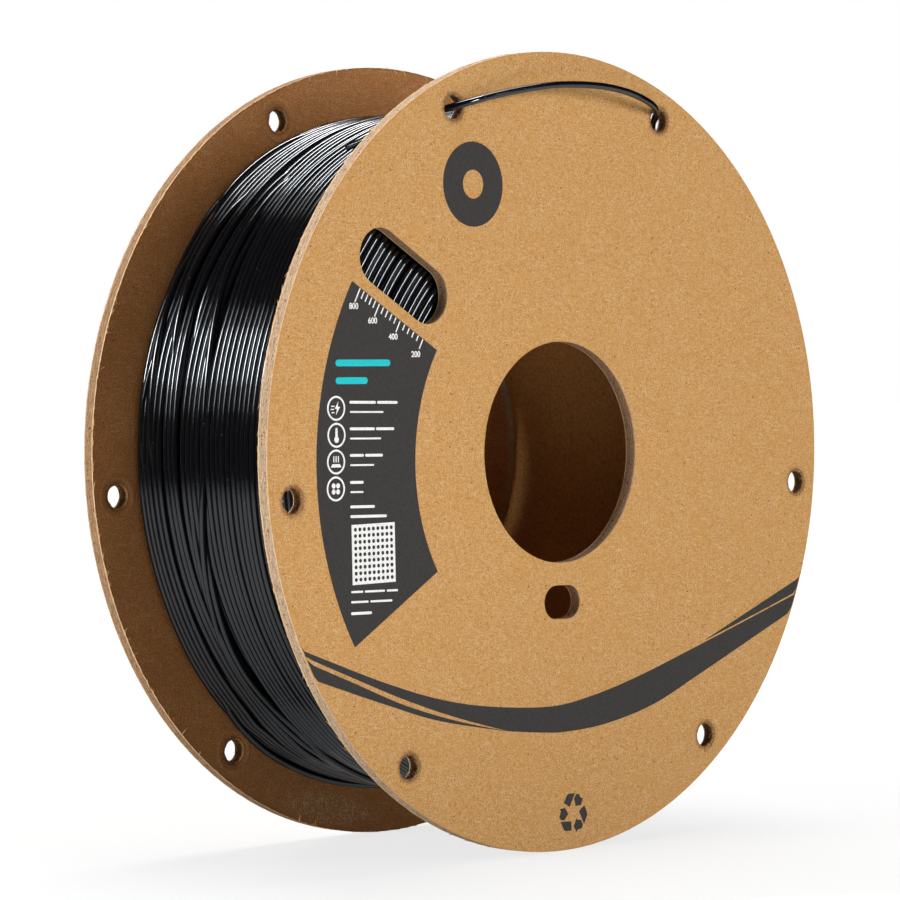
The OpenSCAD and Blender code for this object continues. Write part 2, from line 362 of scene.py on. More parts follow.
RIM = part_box("front_board")[1].x
BURNISH = 0.7 * MM
HOLE_CIRCLE = 92.6 * MM
HOLE_RADIUS = 3.25 * MM
HOLE_STEP = 24
HOLE_LINES = (90, 210, 330)
# The rubbed patch's middle and half size in millimetres, and its tilt
PATCH_MIDDLE, PATCH_HALF, PATCH_TILT = (-21.0, 29.8, -92.2), (17, 1, 4.2), -10


def stained(finish, body, share, strength, colour):
    """Lays a colour over the body at some strength, where share is 1."""
    return mixed(finish, times(finish, share, strength), body, colour)


def on_the_cut(finish):
    """1 on a punched edge and 0 on a sheet's flat faces, from which way the surface faces."""
    facing = shade(finish, "SeparateXYZ", {0: shade(finish, "TexCoord").outputs["Normal"]})
    return spread(finish, sum_of(finish, "ABSOLUTE", facing.outputs["Y"]), 0.6, 0.4)


def specks(finish, place, per_metre, radius, share):
    """1 on small round specks scattered over the flat faces, in that share of the cells."""
    flat = shade(finish, "Mapping", {"Vector": place, "Rotation": (math.radians(90), 0, 0)}).outputs[0]
    cells = {"Vector": flat, "Scale": per_metre, "Randomness": 1.0}
    spot = shade(finish, "TexVoronoi", cells, voronoi_dimensions="2D")
    dot = spread(finish, spot.outputs["Distance"], radius, radius * 0.5)
    chosen = shade(finish, "SeparateColor", {0: spot.outputs["Color"]}).outputs[0]
    return times(finish, dot, sum_of(finish, "LESS_THAN", chosen, share))


def past_hole(finish, turns, reach):
    """How far a point is from the edge of the nearest rim hole: two holes beside each of three lines."""
    from_line = sum_of(finish, "SUBTRACT", turns, HOLE_LINES[0] / 360)
    sector = 0.5 / len(HOLE_LINES)
    folded = shade(finish, "Math", {0: from_line, 1: sector, 2: -sector}, operation="WRAP").outputs[0]
    off = sum_of(finish, "SUBTRACT", sum_of(finish, "ABSOLUTE", folded), HOLE_STEP / 360)
    sideways = times(finish, times(finish, off, 2 * math.pi), reach)
    outward = sum_of(finish, "SUBTRACT", reach, HOLE_CIRCLE)
    flat = shade(finish, "CombineXYZ", {"X": sideways, "Y": outward}).outputs[0]
    return sum_of(finish, "SUBTRACT", length_of(finish, flat), HOLE_RADIUS)


def rubbed_patch(finish, place):
    """1 on the pale crumbs of a rubbed patch low on the rear flange's inner face."""
    middle = [c * MM for c in PATCH_MIDDLE]
    offset = shade(finish, "VectorMath", {0: place, 1: middle}, operation="SUBTRACT").outputs[0]
    across = shade(finish, "Mapping", {"Vector": offset, "Rotation": (0, math.radians(PATCH_TILT), 0)}).outputs[0]
    per_half = [1 / (c * MM) for c in PATCH_HALF]
    scaled = shade(finish, "VectorMath", {0: across, 1: per_half}, operation="MULTIPLY").outputs[0]
    crumbs = spread(finish, grain(finish, place, 1900, 2.0, 0.6), 0.50, 0.60)
    return times(finish, spread(finish, length_of(finish, scaled), 1.15, 0.7), crumbs)


def kraft_paper(name, body_tones, cloud_tone, edge_tones, fibre_share):
    """Brown kraft paper with short fibres, dark specks, a burnished rim, dented hole edges and painted shade round
    each hole.
    """
    finish, place = finish_for(name, 0.86, 0.28)
    turns, reach, _ = round_the_axis(finish, place)
    mottle = spread(finish, grain(finish, place, 4200, 2.0, 0.6), 0.39, 0.61)
    clouds = spread(finish, grain(finish, place, 120, 3.0), 0.32, 0.68)
    lying = grain(finish, place, (380, 2300, 2300), 1.5, 0.5, math.radians(18))
    rising = grain(finish, place, (2300, 2300, 380), 1.5, 0.5, math.radians(-27))
    slanting = grain(finish, place, (420, 2300, 2300), 1.5, 0.5, math.radians(-52))
    fibres = sum_of(finish, "MAXIMUM", spread(finish, lying, 0.58, 0.74), spread(finish, rising, 0.60, 0.76))
    body = mixed(finish, mottle, *body_tones)
    body = stained(finish, body, clouds, 0.40, cloud_tone)
    body = stained(finish, body, fibres, fibre_share, (220, 188, 148))
    body = stained(finish, body, spread(finish, slanting, 0.60, 0.76), 0.34, (166, 108, 48))
    for per_metre, radius, share, strength, speck in (
        (150, 0.045, 0.22, 0.85, (116, 62, 34)),
        (330, 0.10, 0.30, 0.5, (146, 92, 44)),
        (620, 0.17, 0.22, 0.4, (156, 104, 54)),
    ):
        body = stained(finish, body, specks(finish, place, per_metre, radius, share), strength, speck)
    body = stained(finish, body, spread(finish, reach, RIM - BURNISH, RIM - 0.2 * MM), 0.55, cloud_tone)
    # Painted shade: a ragged dark brown ring on the face round each rim hole, where the dent and the lip drawn into
    # the hole shade it.
    past = past_hole(finish, turns, reach)
    ragged = sum_of(finish, "ADD", past, times(finish, mottle, 0.45 * MM))
    body = stained(finish, body, spread(finish, ragged, 1.25 * MM, 0.30 * MM), 0.72, (106, 62, 28))
    rubbed = rubbed_patch(finish, place)
    body = stained(finish, body, rubbed, 0.7, (208, 178, 138))
    edge = mixed(finish, spread(finish, grain(finish, place, 900, 3.0, 0.7), 0.35, 0.65), *edge_tones)
    feed(finish, "Base Color", mixed(finish, on_the_cut(finish), body, edge))
    relief = sum_of(finish, "ADD", mottle, times(finish, fibres, 0.6))
    relief = sum_of(finish, "ADD", relief, times(finish, rubbed, 2.0))
    grainy = raised(finish, relief, 0.05 * MM)
    ring = spread(finish, sum_of(finish, "ABSOLUTE", sum_of(finish, "SUBTRACT", past, 1.9 * MM)), 0.7 * MM, 0.0)
    sunk = sum_of(finish, "SUBTRACT", times(finish, ring, 0.35), spread(finish, past, 1.2 * MM, 0.0))
    feed(finish, "Normal", raised(finish, sunk, 0.5 * MM, Strength=0.9, Normal=grainy))
    return finish


kraft = kraft_paper(
    "kraft_paper", ((188, 124, 38), (216, 179, 128)), (201, 147, 76), ((196, 162, 128), (222, 196, 162)), 0.5
)
brown_kraft = kraft_paper(
    "brown_kraft_paper", ((138, 81, 30), (208, 149, 92)), (156, 100, 50), ((206, 168, 124), (232, 204, 164)), 0.2
)


def recycled_board(name, *rim_tones):
    """Grey-brown recycled board, cut across: streaks of pulp, darker inside the openings."""
    finish, place = finish_for(name, 0.93, 0.2)
    turns, reach, along = round_the_axis(finish, place)
    layers = shade(finish, "CombineXYZ", {"X": turns, "Y": along, "Z": reach}).outputs[0]
    streaks = grain(finish, layers, (240, 2600, 2600), 2.0, 0.6)
    pulp = grain(finish, place, 2600, 3.0, 0.65)
    tufts = spread(finish, times(finish, sum_of(finish, "ADD", streaks, pulp), 0.5), 0.38, 0.62)
    crushed = mixed(finish, tufts, (146, 108, 76), (202, 164, 128))
    inside = spread(finish, reach, RIM - 0.6 * MM, RIM - 1.0 * MM)
    body = mixed(finish, inside, mixed(finish, tufts, *rim_tones), crushed)
    in_hole = spread(finish, past_hole(finish, turns, reach), 0.4 * MM, 0.2 * MM)
    body = mixed(finish, in_hole, body, mixed(finish, tufts, (98, 64, 38), (154, 112, 74)))
    bits = spread(finish, grain(finish, place, 1500, 1.0), 0.66, 0.72)
    cover(finish, mixed(finish, bits, body, (98, 68, 48)), tufts, 0.25 * MM)
    return finish


pale_board = recycled_board("recycled_board", (158, 122, 92), (222, 194, 162))
# The rear board is the same board in darker, browner tones: painted shade, as the rear flange gets less light.
shaded_rear_board = recycled_board("rear_board_painted_shade", (134, 97, 67), (194, 156, 118))
for side, board in (("front", pale_board), ("rear", shaded_rear_board)):
    dressed(side + "_outer_liner", kraft)
    dressed(side + "_board", board)
    dressed(side + "_inner_liner", brown_kraft)

# Torn paper: the punch pulls fibres out along the sheets' rims, and turns a ragged lip into each hole
random.seed(5)
RIM_FIBRES, CURLED_FIBRES, OUTER_FIBRES, HOLE_FIBRES, INNER_HOLE_FIBRES = 560, 60, 90, 26, 14
LIP, INNER_LIP = (0.28, 1.2), (0.38, 0.55)
torn_fibre, place = finish_for("torn_fibre", 0.95, 0.1)
frayed = grain(torn_fibre, place, 500)
feed(torn_fibre, "Base Color", mixed(torn_fibre, frayed, (198, 146, 88), (234, 194, 138)))
lip_brown, place = finish_for("pressed_lip", 0.95, 0.1)
crumbs = spread(lip_brown, grain(lip_brown, place, 1500, 3.0, 0.65), 0.35, 0.65)
cover(lip_brown, mixed(lip_brown, crumbs, (112, 72, 40), (186, 138, 86)), crumbs, 0.25 * MM)


def on_spool(name, mesh, slot, *nodes):
    """A piece of the spool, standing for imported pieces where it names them."""
    piece = in_scene(name, mesh)
    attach(piece, "root")
    if nodes:
        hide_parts(*nodes)
    return piece


def along_axis(y):
    return Vector((0, y, 0))


def ways_at(angle):
    """The ways outward and round the axis, at an angle round it."""
    out = Vector((math.cos(angle), 0, math.sin(angle)))
    return out, Vector((-out.z, 0, out.x))


def sliver(start, direction, length, thickness):
    """Corners and faces of a thin pointed fibre, bent a little on its way."""
    direction = direction.normalized()
    across = direction.orthogonal().normalized()
    over = direction.cross(across)
    bend = (across * random.uniform(-0.25, 0.25) + over * random.uniform(-0.25, 0.25)) * length
    corners = []
    for share, width in ((0.0, 1.0), (0.5, 0.8)):
        middle = start + direction * length * share + bend * share * share
        for k in range(3):
            a = 2 * math.pi * k / 3
            corners.append(middle + (across * math.cos(a) + over * math.sin(a)) * thickness / 2 * width)
    corners.append(start + direction * length + bend)
    faces = [(2, 1, 0)]
    faces += [(k, (k + 1) % 3, (k + 1) % 3 + 3, k + 3) for k in range(3)]
    faces += [(k + 3, (k + 1) % 3 + 3, 6) for k in range(3)]
    return corners, faces


def rim_sliver(y, spread_y, longest, thickest):
    """A fibre lying along the rim at a sheet's edge."""
    out, side = ways_at(random.uniform(0, 2 * math.pi))
    along_rim = side * random.choice((-1, 1))
    lean = along_rim + out * random.uniform(-0.25, 0.12) + along_axis(random.uniform(-0.35, 0.35))
    start = out * (RIM - random.uniform(0.0, 0.12) * MM) + along_axis(y + random.uniform(-spread_y, spread_y))
    return sliver(start, lean, random.uniform(0.3, 1.0) * longest, random.uniform(0.45, 1.0) * thickest)


def curled_sliver(y, way):
    """A fibre that curls from a flange's inner rim over its inner face."""
    out, side = ways_at(random.uniform(0, 2 * math.pi))
    along_rim = side * random.choice((-1, 1))
    lean = along_rim * random.uniform(0.2, 1.0) - out * random.uniform(0.5, 1.2) + along_axis(way * 0.35)
    start = out * (RIM - 0.05 * MM) + along_axis(y)
    return sliver(start, lean, random.uniform(0.9, 2.2) * MM, random.uniform(0.14, 0.26) * MM)


def hole_sliver(hole_angle, y, into):
    """A fibre that hangs from a hole's edge into the hole."""
    out, side = ways_at(hole_angle)
    a = random.uniform(0, 2 * math.pi)
    from_middle = out * math.cos(a) + side * math.sin(a)
    start = out * HOLE_CIRCLE + from_middle * (HOLE_RADIUS + 0.03 * MM) + along_axis(y)
    round_hole = (side * math.cos(a) - out * math.sin(a)) * random.uniform(-0.9, 0.9)
    lean = round_hole - from_middle * random.uniform(0.3, 0.8) + along_axis(into * random.uniform(0.2, 1.0))
    return sliver(start, lean, random.uniform(0.4, 1.3) * MM, random.uniform(0.10, 0.26) * MM)


def tube_faces(sections, sides, closed=True, start=0):
    """The faces of a tube with so many sections and sides, its ends joined where it is closed."""
    faces = []
    for i in range(sections if closed else sections - 1):
        here, there = start + i * sides, start + (i + 1) % sections * sides
        faces.extend((here + k, here + (k + 1) % sides, there + (k + 1) % sides, there + k) for k in range(sides))
    return faces


def hole_lip(hole_angle, y, into, inward_reach, depth_reach, steps=40):
    """The paper's edge, drawn into the hole by the punch, as a ragged ring on the hole's wall."""
    out, side = ways_at(hole_angle)
    corners = []
    for i in range(steps):
        a = 2 * math.pi * i / steps
        from_middle = out * math.cos(a) + side * math.sin(a)
        ragged = 0.14 * math.sin(3 * a + hole_angle) + 0.12 * math.sin(7 * a + 2 * hole_angle)
        ragged += random.uniform(-0.09, 0.09)
        deep = depth_reach * (1 + 1.5 * ragged)
        section = ((0.02, 0.06), (-inward_reach + 0.5 * ragged, 0.28), (-0.8 * inward_reach, 0.9 * deep), (0.02, deep))
        for inward, depth in section:
            spot = out * HOLE_CIRCLE + from_middle * (HOLE_RADIUS + inward * MM)
            corners.append(spot + along_axis(y) + along_axis(into) * depth * MM)
    return corners, tube_faces(steps, 4)


hole_angles = [math.radians(line + step) for line in HOLE_LINES for step in (-HOLE_STEP, HOLE_STEP)]
for side, way in (("front", 1), ("rear", -1)):
    outer_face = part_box(side + "_outer_liner")[0 if way > 0 else 1].y
    inner_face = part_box(side + "_inner_liner")[1 if way > 0 else 0].y
    inner_edge = inner_face - way * 0.02 * MM
    slivers = [rim_sliver(inner_edge, 0.10 * MM, 2.0 * MM, 0.28 * MM) for i in range(RIM_FIBRES)]
    slivers += [curled_sliver(inner_edge, way) for i in range(CURLED_FIBRES)]
    slivers += [rim_sliver(outer_face + way * 0.2 * MM, 0.15 * MM, 1.3 * MM, 0.16 * MM) for i in range(OUTER_FIBRES)]
    for angle in hole_angles:
        slivers += [hole_sliver(angle, outer_face + way * 0.1 * MM, way) for i in range(HOLE_FIBRES)]
        slivers += [hole_sliver(angle, inner_face - way * 0.1 * MM, -way) for i in range(INNER_HOLE_FIBRES)]
    corners, faces = [], []
    for some_corners, some_faces in slivers:
        faces.extend(tuple(len(corners) + i for i in face) for face in some_faces)
        corners.extend(some_corners)
    name = side + "_torn_fibres"
    on_spool(name, mesh_of(name, corners, faces, torn_fibre), "kraft_liner")
    for number, angle in enumerate(hole_angles, 1):
        lips = [("lip", hole_lip(angle, outer_face, way, *LIP))]
        if side == "rear":
            lips.append(("inner_lip", hole_lip(angle, inner_face, -way, *INNER_LIP)))
        for kind, (corners, faces) in lips:
            name = f"{side}_hole_{kind}_{number}"
            on_spool(name, mesh_of(name, corners, faces, lip_brown), "kraft_liner")


# ---- Print on the front face ---------------------------------------------------------------
# One pass of dark grey water ink on the kraft paper, with white ink over it: a panel with a
# scale beside the window, a curved stripe across the foot, and plain pictograms. A thin film.

FILM, COAT_STEP, SUNK = 0.04 * MM, 0.7, 0.4
FACE_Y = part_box("front_outer_liner")[0].y


def ink(name, colour, gaps):
    """Printing ink on rough paper: the fibres break it up a little and dull it."""
    finish, place = finish_for(name, 0.72, 0.3)
    mottle = grain(finish, place, 2100, 2.0, 0.6)
    cover(finish, mixed(finish, spread(finish, mottle, 0.35, 0.7), colour, gaps), mottle, 0.05 * MM)
    return finish


def printed(name, outlines, finish, coat=1):
    """A film of ink, from closed outlines in millimetres as seen from the front; inner ones are holes."""
    drawing = bpy.data.curves.new(name, "CURVE")
    drawing.dimensions = "2D"
    drawing.fill_mode = "BOTH"
    for outline in outlines:
        line = drawing.splines.new("POLY")
        line.points.add(len(outline) - 1)
        for point, (x, z) in zip(line.points, outline):
            point.co = (x * MM, z * MM, 0.0, 1.0)
        line.use_cyclic_u = True
    return laid_on_face(name, drawing, finish, coat)


def laid_on_face(name, drawing, finish, coat):
    """Turns a flat drawing into a closed film of ink on the front face, coat over coat."""
    drawing.extrude = FILM / 2
    flat = in_scene(name + "_drawing", drawing)
    bpy.context.view_layer.update()
    mesh = bpy.data.meshes.new_from_object(flat.evaluated_get(bpy.context.evaluated_depsgraph_get()))
    mesh.name = name
    mesh.transform(Matrix.Rotation(math.radians(90), 4, "X"))
    mesh.transform(Matrix.Translation((0, FACE_Y - FILM * (COAT_STEP * coat - SUNK), 0)))
    mesh.materials.clear()
    mesh.materials.append(finish)
    bpy.data.objects.remove(flat)
    return on_spool(name, mesh, "kraft_liner")


def arc(radius, first, last, steps=48, centre=(0.0, 0.0)):
    """Points along an arc, from one angle to another in degrees."""
    angles = [math.radians(first + (last - first) * i / steps) for i in range(steps + 1)]
    return [(centre[0] + radius * math.cos(a), centre[1] + radius * math.sin(a)) for a in angles]


def disc(radius, centre, steps=40):
    return arc(radius, 0, 360 * (1 - 1 / steps), steps - 1, centre)


def smooth_line(points, steps=8):
    """A smooth line through a few points."""
    ends = [points[0]] + list(points) + [points[-1]]
    made = []
    for a, b, c, d in zip(ends, ends[1:], ends[2:], ends[3:]):
        for i in range(steps):
            t = i / steps
            weights = (-t + 2 * t**2 - t**3, 2 - 5 * t**2 + 3 * t**3, t + 4 * t**2 - 3 * t**3, t**3 - t**2)
            made.append(tuple(sum(w * p[k] for w, p in zip(weights, (a, b, c, d))) / 2 for k in range(len(b))))
    return made + [tuple(points[-1])]


dark_ink = ink("dark_grey_ink", (42, 40, 39), (54, 50, 48))
white_ink = ink("white_ink", (246, 246, 244), (226, 224, 220))
teal_ink = ink("teal_ink", (0, 200, 206), (20, 184, 190))

# The panel is a ring sector below the window, printed a little low on the sheet
PRINT_CENTRE = (0.0, -1.5)
PANEL_INNER, PANEL_OUTER = 51.6, 84.3
PANEL_TOP_INNER, PANEL_TOP_OUTER, PANEL_FOOT = 148.4, 149.0, 211.05
panel = arc(PANEL_OUTER, PANEL_TOP_OUTER, PANEL_FOOT, 48, PRINT_CENTRE)
panel += arc(PANEL_INNER, PANEL_FOOT, PANEL_TOP_INNER, 48, PRINT_CENTRE)
printed("print_panel", [panel], dark_ink)

# The scale shows how much is left on the spool, read where the winding ends in the window
SCALE_RADII = {800: 80.4, 600: 73.1, 400: 65.1, 200: 56.3}
SCALE_START = 150.0
LONG_TICK, SHORT_TICK, TICK_WIDTH = 2.7, 1.45, 0.36
TICKS_PER_MARK = 5
ticks = []
weights = sorted(SCALE_RADII, reverse=True)
for upper, lower in zip(weights, weights[1:] + [None]):
    for i in range(TICKS_PER_MARK if lower else 1):
        step = (SCALE_RADII[lower] - SCALE_RADII[upper]) / TICKS_PER_MARK if lower else 0
        radius = SCALE_RADII[upper] + i * step
        length = LONG_TICK if i == 0 else SHORT_TICK
        outer = arc(radius + TICK_WIDTH / 2, SCALE_START, SCALE_START + length, 4)
        inner = arc(radius - TICK_WIDTH / 2, SCALE_START + length, SCALE_START, 4)
        ticks.append(outer + inner)
printed("print_scale", ticks, white_ink, 2)

NUMERAL_HEIGHT, NUMERAL_STROKE = 2.0, 0.045
NUMERAL_PLACES = {800: (-73.3, 35.3), 600: (-67.1, 31.9), 400: (-60.3, 28.1), 200: (-52.7, 23.9)}
for weight, (x, z) in NUMERAL_PLACES.items():
    numeral = bpy.data.curves.new("numeral", "FONT")
    numeral.body = str(weight)
    numeral.size = NUMERAL_HEIGHT * MM
    numeral.offset = NUMERAL_STROKE * MM
    film = laid_on_face(f"print_numeral_{weight}", numeral, white_ink, 2)
    film.data.transform(Matrix.Translation((x * MM, 0, z * MM)))

# Pictograms in rings: speed, nozzle heat, bed heat and fan
ICON_RADIUS, ICON_LINE = 2.95, 0.48
ICON_PLACES = {
    "speed": (-77.8, 11.8), "nozzle_heat": (-77.75, 5.45), "bed_heat": (-77.95, -0.85), "fan": (-78.1, -7.2),
}


def moved(outline, centre, tilt=0.0):
    """An outline drawn round the origin, turned by some degrees and put at a centre."""
    c, s = math.cos(math.radians(tilt)), math.sin(math.radians(tilt))
    return [(centre[0] + x * c - z * s, centre[1] + x * s + z * c) for x, z in outline]


def rounded_bar(start, end, radius):
    """A bar with round ends."""
    heading = math.degrees(math.atan2(end[1] - start[1], end[0] - start[0]))
    return arc(radius, heading - 90, heading + 90, 8, end) + arc(radius, heading + 90, heading + 270, 8, start)


# Each pictogram's outlines, in millimetres from the middle of its ring
ICONS = {
    "speed": [
        [(0.7, 1.6), (-0.5, -0.1), (0.25, -0.15), (-0.1, -1.6), (1.3, 0.35), (0.5, 0.4)],
        rounded_bar((-1.5, 0.5), (-0.7, 0.5), 0.14),
        rounded_bar((-1.7, -0.25), (-0.9, -0.25), 0.14),
        rounded_bar((-1.4, -1.0), (-0.7, -1.0), 0.14),
    ],
    "nozzle_heat": [arc(0.75, 122, 418, 24, (0, -1.05)) + arc(0.36, 0, 180, 10, (0, 1.4))],
    "bed_heat": [[(-1.75, -1.3), (1.75, -1.3), (1.2, -0.5), (-1.2, -0.5)]]
    + [rounded_bar((x, 0.05), (x, 1.25), 0.17) for x in (-0.75, 0.0, 0.75)],
    "fan": [disc(0.62, (0.7125 * x, 0.7125 * z), 20) for x, z in ((1, 1), (-1, 1), (-1, -1), (1, -1))],
}
for icon, centre in ICON_PLACES.items():
    ring = [disc(ICON_RADIUS, centre), disc(ICON_RADIUS - ICON_LINE, centre)]
    printed("print_icon_" + icon, ring + [moved(outline, centre) for outline in ICONS[icon]], white_ink, 2)

# Two teal bars above the pictograms, and a pale square with an even pattern of dots below them
TEAL_BARS, TEAL_HALF = (((-77.1, 22.5), (-60.6, 22.5)), ((-77.1, 18.3), (-68.2, 18.3))), 0.8
printed("print_teal_bars", [rounded_bar(start, end, TEAL_HALF) for start, end in TEAL_BARS], teal_ink, 2)
# Plain bars stand beside the pictograms and round the square: height on the sheet, half thickness, lengths
NOTE_START, NOTE_GAP, NOTE_SLOPE = -73.1, 1.1, -0.012
NOTE_LINES = [
    (13.2, 0.34, (8.0, 6.2)), (10.9, 0.22, (10.6,)), (6.9, 0.34, (7.6, 5.4)), (4.6, 0.22, (9.8,)),
    (0.6, 0.34, (3.9, 5.2)), (-1.7, 0.22, (7.4,)), (-5.8, 0.34, (3.8,)), (-8.1, 0.22, (3.8,)), (-11.6, 0.34, (7.4,)),
    (-13.9, 0.34, (11.4,)), (-31.8, 0.26, (3.4, 6.2, 3.2)), (-34.2, 0.26, (5.2, 6.8)), (-36.9, 0.34, (6.2,)),
]
bars = []
for z, half, lengths in NOTE_LINES:
    x = NOTE_START
    for length in lengths:
        bars.append(rounded_bar(*((end, z + NOTE_SLOPE * (end - NOTE_START)) for end in (x, x + length)), half))
        x += length + NOTE_GAP
printed("print_note_bars", bars, white_ink, 2)

SQUARE_CENTRE, SQUARE_HALF, SQUARE_TILT = (-65.8, -22.9), 7.15, 1.0
square = [(x * SQUARE_HALF, z * SQUARE_HALF) for x, z in ((-1, -1), (1, -1), (1, 1), (-1, 1))]
printed("print_square", [moved(square, SQUARE_CENTRE, SQUARE_TILT)], white_ink, 2)
DOTS, DOT_SHARE, DOT_MARGIN = 9, 0.32, 0.6
dot_step = 2 * SQUARE_HALF / (DOTS + DOT_MARGIN)
dot_rows = [(i - DOTS // 2) * dot_step for i in range(DOTS)]
dots = [disc(DOT_SHARE * dot_step, (x, z), 10) for x in dot_rows for z in dot_rows]
dots = [moved(dot, SQUARE_CENTRE, SQUARE_TILT) for dot in dots]
printed("print_square_dots", dots, dark_ink, 3)

# A plain emblem of a spool seen end on, and the loop of three arrows for recyclable board
EMBLEM_CENTRE, EMBLEM_RADII = (-31.0, 66.1), (10.4, 3.536)
emblem = [disc(radius, EMBLEM_CENTRE, 64) for radius in EMBLEM_RADII]
printed("print_emblem", emblem, dark_ink)
LOOP_CENTRE = (3.5, -90.9)
# Each arrow is a folded band in two pieces: its back, and its front with the head
ARROW_BACK = [(-1.35, 1.68), (-3.4, 2.74), (-2.5, 4.4), (-1.8, 4.97), (0.72, 5.0)]
ARROW_FRONT = [
    (0.3, 3.55), (0.98, 4.6), (1.95, 4.75), (2.98, 3.52), (3.7, 3.58), (2.85, 1.78), (0.65, 1.72), (0.8, 2.1),
]
loop = [moved(band, LOOP_CENTRE, turn) for turn in (0, 120, 240) for band in (ARROW_BACK, ARROW_FRONT)]
printed("print_recycling_loop", loop, dark_ink)

# The curved stripe: a broad band with a thin wing split off at each end
STRIPE_TOP = [(-95, -42.7), (-80, -48.0), (-62, -54.1), (-44, -59.1), (-26, -62.1), (-5, -63.5), (10, -61.9),
              (28, -58.0), (52, -51.3), (76, -44.3), (97, -38.1)]
STRIPE_FOOT = [(97, -41.5), (76, -49.6), (52, -58.9), (34, -65.5), (16, -69.2), (1, -70.2), (-8, -69.8), (-20, -68.6)]
LEFT_SPLIT = [(-20, -68.6), (-38, -64.0), (-56, -58.4), (-74, -51.8), (-95, -43.9)]
LEFT_WING_TOP = [(-95, -45.0), (-74, -52.9), (-56, -59.7), (-38, -64.8), (-21, -68.4)]
LEFT_WING_FOOT = [(-21, -68.5), (-44, -64.4), (-62, -59.3), (-80, -53.7), (-95, -48.9)]
RIGHT_WING = [(54, -50.2), (97, -34.0), (97, -37.6), (76, -43.9), (58, -49.1)]
BARE_RIM = 0.35
INK_REACH = RIM / MM - BARE_RIM


def within_rim(outline):
    """An outline cut off at the rim: points past it are drawn back to it."""
    kept = []
    for x, z in outline:
        if math.hypot(x, z) > INK_REACH:
            x, z = (c * INK_REACH / math.hypot(x, z) for c in (x, z))
        kept.append((x, z))
    return kept


stripe = smooth_line(STRIPE_TOP) + smooth_line(STRIPE_FOOT) + smooth_line(LEFT_SPLIT)[1:]
left_wing = smooth_line(LEFT_WING_TOP) + smooth_line(LEFT_WING_FOOT)
right_wing = smooth_line(RIGHT_WING[:2], 16) + smooth_line(RIGHT_WING[2:], 8)
for name, outline in (("stripe", stripe), ("left_wing", left_wing), ("right_wing", right_wing)):
    printed("print_" + name, [within_rim(outline)], dark_ink)


# ---- Filament ------------------------------------------------------------------------------
# One unbroken strand of black plastic, 1.75 mm thick, drawn glossy and wound in level layers.
# Its first end is pushed through the tube, and its loose end is parked through two rim holes.

STRAND = 1.75 * MM
strand_black = new_finish("glossy_black_strand", {
    "Roughness": 0.13, "Specular IOR Level": 0.5, "IOR": 1.57, "Specular Tint": (0.88, 0.94, 1.0, 1.0),
})
place = shade(strand_black, "TexCoord").outputs["Object"]
turns, reach, along = round_the_axis(strand_black, place)
drawn = shade(strand_black, "CombineXYZ", {"X": turns, "Y": along, "Z": reach}).outputs[0]
haze = grain(strand_black, drawn, (70, 1800, 1800), 2.0, 0.6)
dust_cells = shade(strand_black, "TexVoronoi", {"Vector": place, "Scale": 400.0})
dust = spread(strand_black, dust_cells.outputs["Distance"], 0.05, 0.03)
dusty = mixed(strand_black, dust, mixed(strand_black, haze, (8, 9, 11), (14, 15, 18)), (118, 108, 92))
dull = shade(strand_black, "MapRange", {0: haze, 1: 0.3, 2: 0.75, 3: 0.08, 4: 0.15}).outputs[0]
feed(strand_black, "Roughness", dull)
cover(strand_black, dusty, grain(strand_black, place, 2600, 1.0), 0.012 * MM)


def strand_mesh(name, paths, sides=12, closed=False):
    """Round tubes of the strand's thickness along paths of points, in metres, as one mesh."""
    corners, faces = [], []
    angles = np.arange(sides) * 2 * math.pi / sides
    for path in paths:
        path = np.asarray(path, float)
        if closed:
            ahead = np.roll(path, -1, 0) - np.roll(path, 1, 0)
        else:
            ahead = np.gradient(path, axis=0)
        ahead /= np.linalg.norm(ahead, axis=1)[:, None]
        outward = path * (1, 0, 1)
        outward -= ahead * (outward * ahead).sum(1)[:, None]
        outward /= np.linalg.norm(outward, axis=1)[:, None]
        across = np.cross(ahead, outward)
        ring = np.cos(angles)[None, :, None] * outward[:, None] + np.sin(angles)[None, :, None] * across[:, None]
        start = len(corners)
        corners.extend((path[:, None] + STRAND / 2 * ring).reshape(-1, 3).tolist())
        faces.extend(tube_faces(len(path), sides, closed, start))
        if not closed:
            faces.append(tuple(start + k for k in reversed(range(sides))))
            faces.append(tuple(len(corners) - sides + k for k in range(sides)))
    mesh = mesh_of(name, corners, faces, strand_black)
    mesh.polygons.foreach_set("use_smooth", [len(face.vertices) == 4 for face in mesh.polygons])
    return mesh


def at(radius, angle, y):
    """A point at a distance from the axis, an angle round it and a place along it."""
    return (radius * math.cos(angle), y, radius * math.sin(angle))


def between(knots, x):
    """A smooth step from knot to knot at x, from (x, value) knots in rising order."""
    for (x0, v0), (x1, v1) in zip(knots, knots[1:]):
        if x <= x1:
            t = max(0.0, (x - x0) / (x1 - x0))
            return v0 + (v1 - v0) * t * t * (3 - 2 * t)
    return knots[-1][1]


def flowing(knots, x):
    """A smooth curve through (x, value) knots at x, that turns back only at a knot."""
    rises = [(v1 - v0) / (x1 - x0) for (x0, v0), (x1, v1) in zip(knots, knots[1:])]
    slopes = [0.0] + [2 * a * b / (a + b) if a * b > 0 else 0.0 for a, b in zip(rises, rises[1:])] + [0.0]
    for i, ((x0, v0), (x1, v1)) in enumerate(zip(knots, knots[1:])):
        if x <= x1:
            w = x1 - x0
            t = max(0.0, (x - x0) / w)
            ends = (1 + 2 * t) * (1 - t) ** 2 * v0 + t * t * (3 - 2 * t) * v1
            return ends + t * (1 - t) ** 2 * w * slopes[i] - t * t * (1 - t) * w * slopes[i + 1]
    return knots[-1][1]


